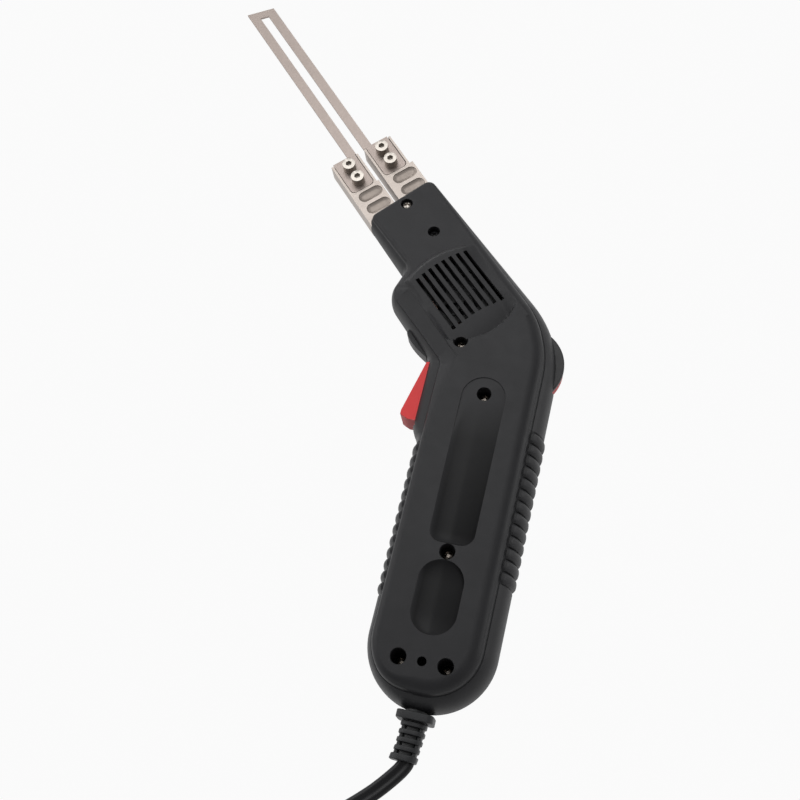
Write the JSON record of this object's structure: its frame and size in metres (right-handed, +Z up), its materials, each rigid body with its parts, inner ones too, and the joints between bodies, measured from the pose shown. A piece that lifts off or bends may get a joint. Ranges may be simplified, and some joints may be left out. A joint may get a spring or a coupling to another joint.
{
  "type": "electric hot knife",
  "caption": "Bent-grip electric hot knife with a slotted heated blade in clamp blocks, a red trigger, lock button, power dial, vents, ribbed cord boot and two-pin plug on a coiled cord.",
  "frame": {"origin": "middle of the label plate's underside, on the surface the tool lies on", "axes": "+Y up the grip to the head, +X to the back with the dial, +Z up from the surface"},
  "size_m": [0.2236, 0.5624, 0.0356],
  "materials": {
    "shell": "fine texture",
    "black_plastic": "matte",
    "red_plastic": "satin",
    "steel": "bright",
    "blade_steel": "satin, heat tinted",
    "plated_brass": "nickel plated",
    "copper": "satin",
    "phenolic": "matte",
    "board": "satin",
    "core_iron": "laminated",
    "rubber": "matte",
    "lead_rubber": "matte"
  },
  "bodies": {
    "housing": {"left_shell": "shell", "right_shell": "shell", "label_plate": "black_plastic", "shell_screws": "steel", "blade": "blade_steel", "front_electrode": "plated_brass", "rear_electrode": "plated_brass", "blade_screws": "steel", "spring_washers": "steel", "electrode_insulator": "phenolic", "trigger_pin": "steel", "trigger_spring": "steel", "lock_spring": "steel", "switch_body": "black_plastic", "potentiometer": "steel", "control_board": "board", "board_parts": "black_plastic", "transformer_core": "core_iron", "transformer_winding": "copper", "front_bar": "copper", "rear_bar": "copper", "fan_frame": "black_plastic", "strain_relief": "rubber", "cord_clamp": "black_plastic", "clamp_screws": "steel", "cord_tail": "rubber", "mains_leads": "lead_rubber", "cord_run": "rubber", "cord_coil": "rubber", "cord_tie": "rubber", "plug_body": "rubber", "plug_pins": "plated_brass"},
    "trigger": {"trigger": "red_plastic"},
    "lock": {"lock_button": "shell"},
    "plunger": {"switch_plunger": "red_plastic"},
    "dial": {"dial_wheel": "black_plastic", "dial_band": "red_plastic", "dial_shaft": "steel"},
    "fan": {"fan_rotor": "black_plastic"}
  },
  "joints": [
    {"name": "trigger_press", "type": "hinge", "parent": "housing", "child": "trigger", "pos_m": [-0.0285, 0.0685, 0.018], "axis": [0, 0, 1], "range_deg": [0, 8], "stiffness_Nm_per_rad": 0.6, "springref_deg": -5.73, "deforming": ["trigger_spring"]},
    {"name": "lock_press", "type": "slide", "parent": "housing", "child": "lock", "axis": [0.723, 0.6909, 0], "range_m": [0, 0.0024], "stiffness_N_per_m": 900, "springref_m": -0.001, "deforming": ["lock_spring"]},
    {"name": "plunger_press", "type": "slide", "parent": "housing", "child": "plunger", "axis": [1, 0, 0], "range_m": [0, 0.0021]},
    {"name": "dial_turn", "type": "hinge", "parent": "housing", "child": "dial", "pos_m": [0.012, 0.079, 0.018], "axis": [0, 0, 1], "range_deg": [-135, 135]},
    {"name": "fan_spin", "type": "hinge", "parent": "housing", "child": "fan", "pos_m": [-0.02681, 0.10987, 0.018], "axis": [0, 0, 1], "continuous": true}
  ],
  "couplings": [
    {"joint": "plunger_press", "follows": "trigger_press", "m_per_rad": 0.0145}
  ]
}
